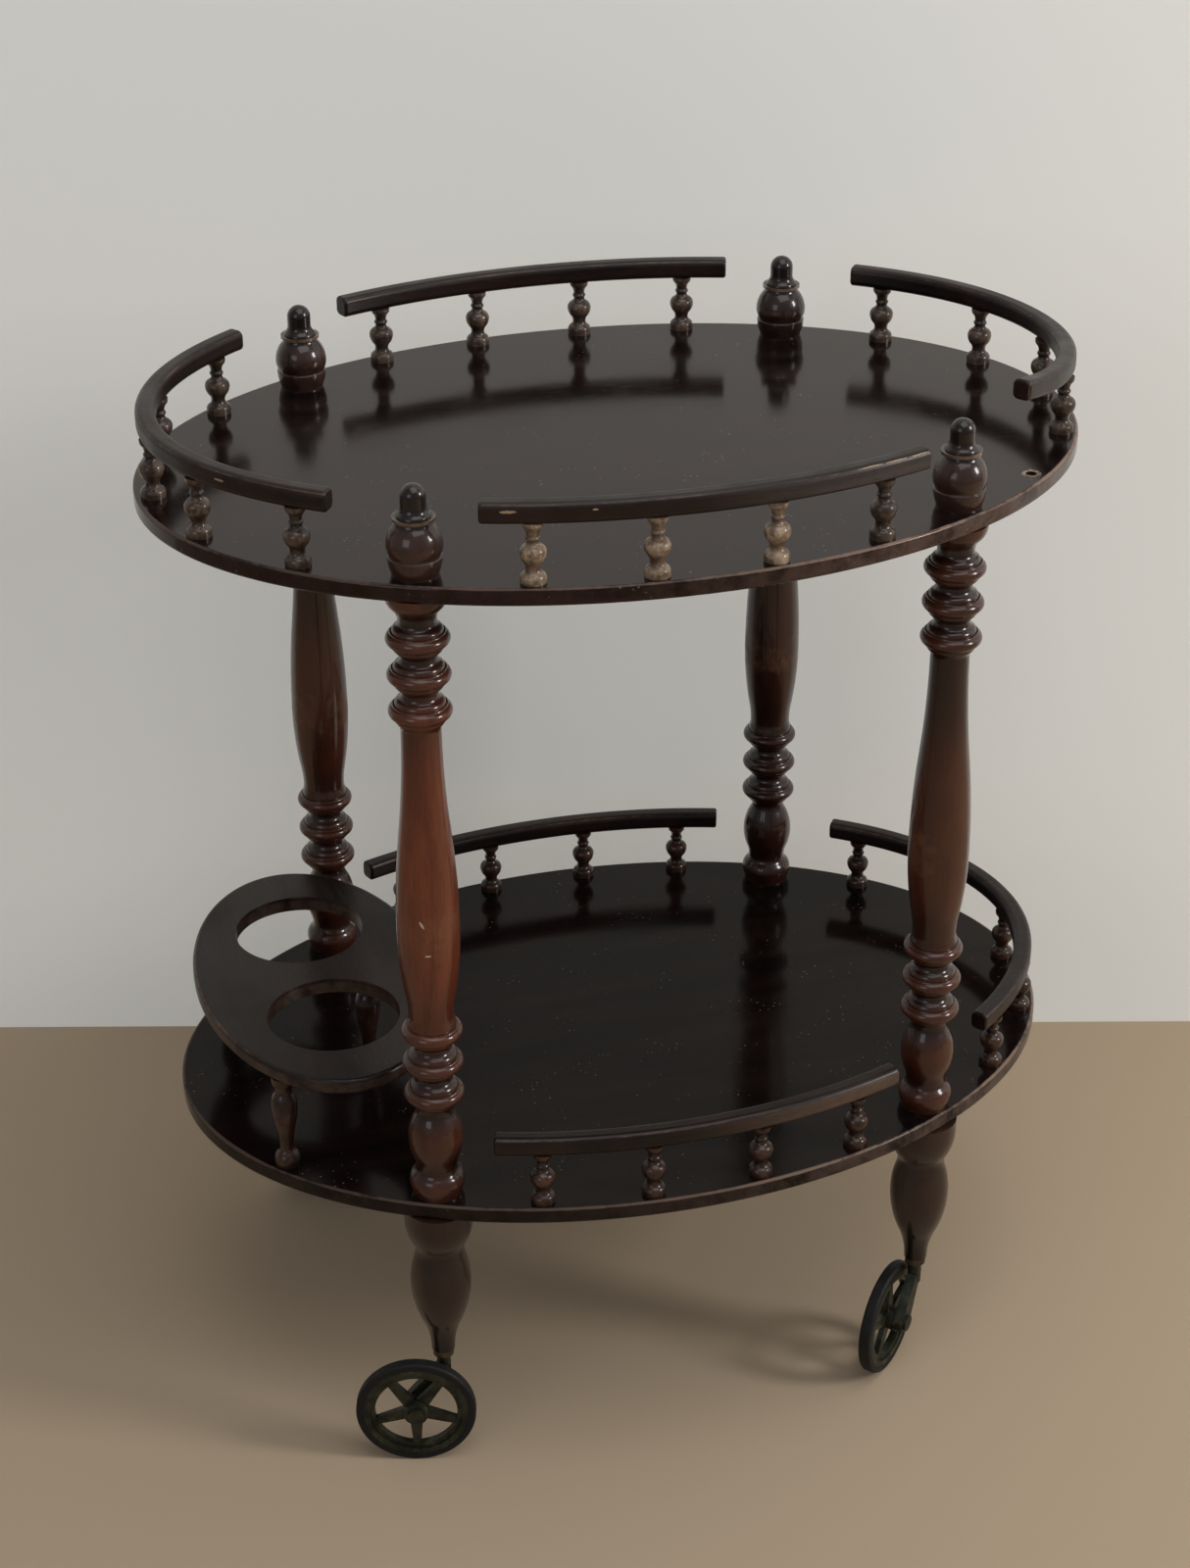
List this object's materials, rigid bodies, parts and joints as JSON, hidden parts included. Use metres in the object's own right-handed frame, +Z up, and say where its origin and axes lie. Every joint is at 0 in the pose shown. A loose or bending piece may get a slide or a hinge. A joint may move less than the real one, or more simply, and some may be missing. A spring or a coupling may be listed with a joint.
{
  "type": "serving trolley",
  "caption": "Oval two-tier wooden serving trolley with turned posts, spindle galleries, a bottle rack and swivel casters, for carrying and serving drinks.",
  "frame": {"origin": "on the floor under the middle of the oval shelves", "axes": "+Z up, +X along the shelves to the right, away from the bottle rack, +Y across them to the back"},
  "size_m": [0.608, 0.428, 0.7128],
  "materials": {
    "board_wood": "dark mahogany stain under gloss lacquer",
    "turned_wood": "mahogany stain under gloss lacquer",
    "small_turnings": "lighter mahogany stain under gloss lacquer",
    "caster_metal": "dark green bronze patina",
    "stud_steel": "plain",
    "tyre": "black rubber"
  },
  "bodies": {
    "trolley": {"bottle_rack": "board_wood", "caster_socket_front_left": "caster_metal", "caster_socket_front_right": "caster_metal", "caster_socket_rear_left": "caster_metal", "caster_socket_rear_right": "caster_metal", "finial_front_left": "turned_wood", "finial_front_right": "turned_wood", "finial_rear_left": "turned_wood", "finial_rear_right": "turned_wood", "finial_studs": "stud_steel", "leg_front_left": "turned_wood", "leg_front_right": "turned_wood", "leg_rear_left": "turned_wood", "leg_rear_right": "turned_wood", "leg_studs": "stud_steel", "lower_rail_back": "board_wood", "lower_rail_front": "board_wood", "lower_rail_right": "board_wood", "lower_shelf": "board_wood", "lower_spindles_back": "small_turnings", "lower_spindles_front": "small_turnings", "lower_spindles_right": "small_turnings", "post_front_left": "turned_wood", "post_front_right": "turned_wood", "post_rear_left": "turned_wood", "post_rear_right": "turned_wood", "rack_column_front": "small_turnings", "rack_column_inner": "small_turnings", "rack_column_rear": "small_turnings", "top_rail_back": "board_wood", "top_rail_front": "board_wood", "top_rail_left": "board_wood", "top_rail_right": "board_wood", "top_shelf": "board_wood", "top_spindles_back": "small_turnings", "top_spindles_front": "small_turnings", "top_spindles_left": "small_turnings", "top_spindles_right": "small_turnings"},
    "swivel_front_left": {"caster_arm_front_left": "caster_metal", "axle_front_left": "caster_metal"},
    "roller_front_left": {"wheel_front_left": "caster_metal", "tyre_front_left": "tyre"},
    "swivel_front_right": {"caster_arm_front_right": "caster_metal", "axle_front_right": "caster_metal"},
    "roller_front_right": {"wheel_front_right": "caster_metal", "tyre_front_right": "tyre"},
    "swivel_rear_left": {"caster_arm_rear_left": "caster_metal", "axle_rear_left": "caster_metal"},
    "roller_rear_left": {"wheel_rear_left": "caster_metal", "tyre_rear_left": "tyre"},
    "swivel_rear_right": {"caster_arm_rear_right": "caster_metal", "axle_rear_right": "caster_metal"},
    "roller_rear_right": {"wheel_rear_right": "caster_metal", "tyre_rear_right": "tyre"}
  },
  "joints": [
    {"name": "swivel_front_left_turn", "type": "hinge", "parent": "trolley", "child": "swivel_front_left", "pos_m": [-0.16796, -0.15798, 0.0795], "axis": [0, 0, 1], "continuous": true},
    {"name": "roller_front_left_spin", "type": "hinge", "parent": "swivel_front_left", "child": "roller_front_left", "pos_m": [-0.18911, -0.16284, 0.04], "axis": [-0.2756, -0.9613, 0], "continuous": true},
    {"name": "swivel_front_right_turn", "type": "hinge", "parent": "trolley", "child": "swivel_front_right", "pos_m": [0.16796, -0.15798, 0.0795], "axis": [0, 0, 1], "continuous": true},
    {"name": "roller_front_right_spin", "type": "hinge", "parent": "swivel_front_right", "child": "roller_front_right", "pos_m": [0.14699, -0.16363, 0.04], "axis": [-0.6947, 0.7193, 0], "continuous": true},
    {"name": "swivel_rear_left_turn", "type": "hinge", "parent": "trolley", "child": "swivel_rear_left", "pos_m": [-0.16796, 0.15798, 0.0795], "axis": [0, 0, 1], "continuous": true},
    {"name": "roller_rear_left_spin", "type": "hinge", "parent": "swivel_rear_left", "child": "roller_rear_left", "pos_m": [-0.18911, 0.15313, 0.04], "axis": [-0.2756, -0.9613, 0], "continuous": true},
    {"name": "swivel_rear_right_turn", "type": "hinge", "parent": "trolley", "child": "swivel_rear_right", "pos_m": [0.16796, 0.15798, 0.0795], "axis": [0, 0, 1], "continuous": true},
    {"name": "roller_rear_right_spin", "type": "hinge", "parent": "swivel_rear_right", "child": "roller_rear_right", "pos_m": [0.14699, 0.15234, 0.04], "axis": [-0.6947, 0.7193, 0], "continuous": true}
  ]
}
